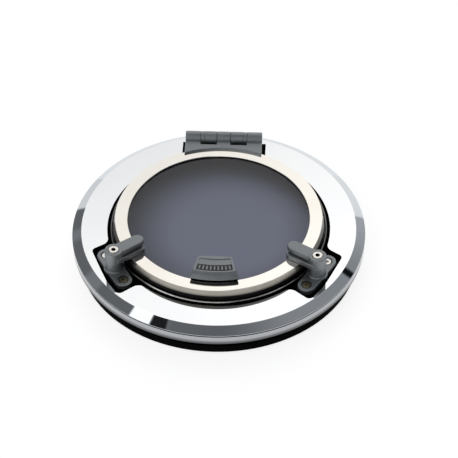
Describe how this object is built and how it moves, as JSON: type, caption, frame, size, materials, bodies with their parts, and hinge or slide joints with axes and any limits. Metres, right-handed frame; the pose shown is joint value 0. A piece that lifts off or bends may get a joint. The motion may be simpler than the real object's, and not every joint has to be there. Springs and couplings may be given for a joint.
{
  "type": "round opening port hatch",
  "caption": "Round opening port hatch seen from inside: polished trim ring, hinged lid with smoked lens and pull tab, and two swinging clamp dogs.",
  "frame": {"origin": "on the axis of the round opening, at the outside face of the outer ring, which is the lowest face as the hatch lies with its inside up", "axes": "+Z along the opening's axis towards the inside of the boat, +Y towards the hinge, +X to the right, with the hatch seen from inside and the hinge at the top"},
  "size_m": [0.3, 0.3, 0.0616],
  "materials": {
    "polished_trim": "mirror polished",
    "polished_steel": "polished",
    "lid_steel": "polished, slightly warm",
    "frame_steel": "fine brushed",
    "screw_steel": "machined",
    "pivot_steel": "machined, bright",
    "grey_alloy": "satin, bead blasted and anodised",
    "black_rubber": "matte",
    "black_moulded": "fine grain",
    "nylon": "natural nylon",
    "smoked_lens": "smoked acrylic, gloss"
  },
  "bodies": {
    "frame": {"outer_ring": "polished_steel", "outer_ring_screws": "screw_steel", "hull_gasket": "black_rubber", "frame_gasket": "black_rubber", "spigot_tube": "polished_steel", "main_frame": "frame_steel", "trim_underlay": "black_rubber", "trim_ring": "polished_trim", "hinge_frame_leaf": "grey_alloy", "hinge_frame_screws": "screw_steel", "hinge_pin": "screw_steel", "hinge_spacers": "grey_alloy", "latch_base_right": "grey_alloy", "latch_base_left": "grey_alloy", "base_screws_right": "screw_steel", "base_screws_left": "screw_steel", "pivot_washer_right": "nylon", "pivot_washer_left": "nylon", "pivot_screw_right": "pivot_steel", "pivot_screw_left": "pivot_steel"},
    "lid": {"lid_ring": "lid_steel", "lid_carrier": "black_moulded", "carrier_screws": "screw_steel", "lens": "smoked_lens", "lens_bedding": "black_rubber", "lid_seal": "black_rubber", "hinge_lid_leaf": "grey_alloy", "hinge_lid_screws": "screw_steel", "hinge_bushes": "nylon", "pull_tab": "grey_alloy", "pull_tab_insert": "black_moulded", "pull_tab_pad": "black_rubber", "pull_tab_screws": "screw_steel"},
    "dog_left": {"dog_left": "grey_alloy", "dog_pad_left": "nylon"},
    "dog_right": {"dog_right": "grey_alloy", "dog_pad_right": "nylon"}
  },
  "joints": [
    {"name": "lid_hinge", "type": "hinge", "parent": "frame", "child": "lid", "pos_m": [0, 0.12, 0.0492], "axis": [-1, 0, 0], "range_deg": [0, 105]},
    {"name": "left_dog", "type": "hinge", "parent": "frame", "child": "dog_left", "pos_m": [-0.10157, -0.06521, 0.055], "axis": [0, 0, -1], "range_deg": [0, 95]},
    {"name": "right_dog", "type": "hinge", "parent": "frame", "child": "dog_right", "pos_m": [0.10157, -0.06521, 0.055], "axis": [0, 0, 1], "range_deg": [0, 95]}
  ]
}
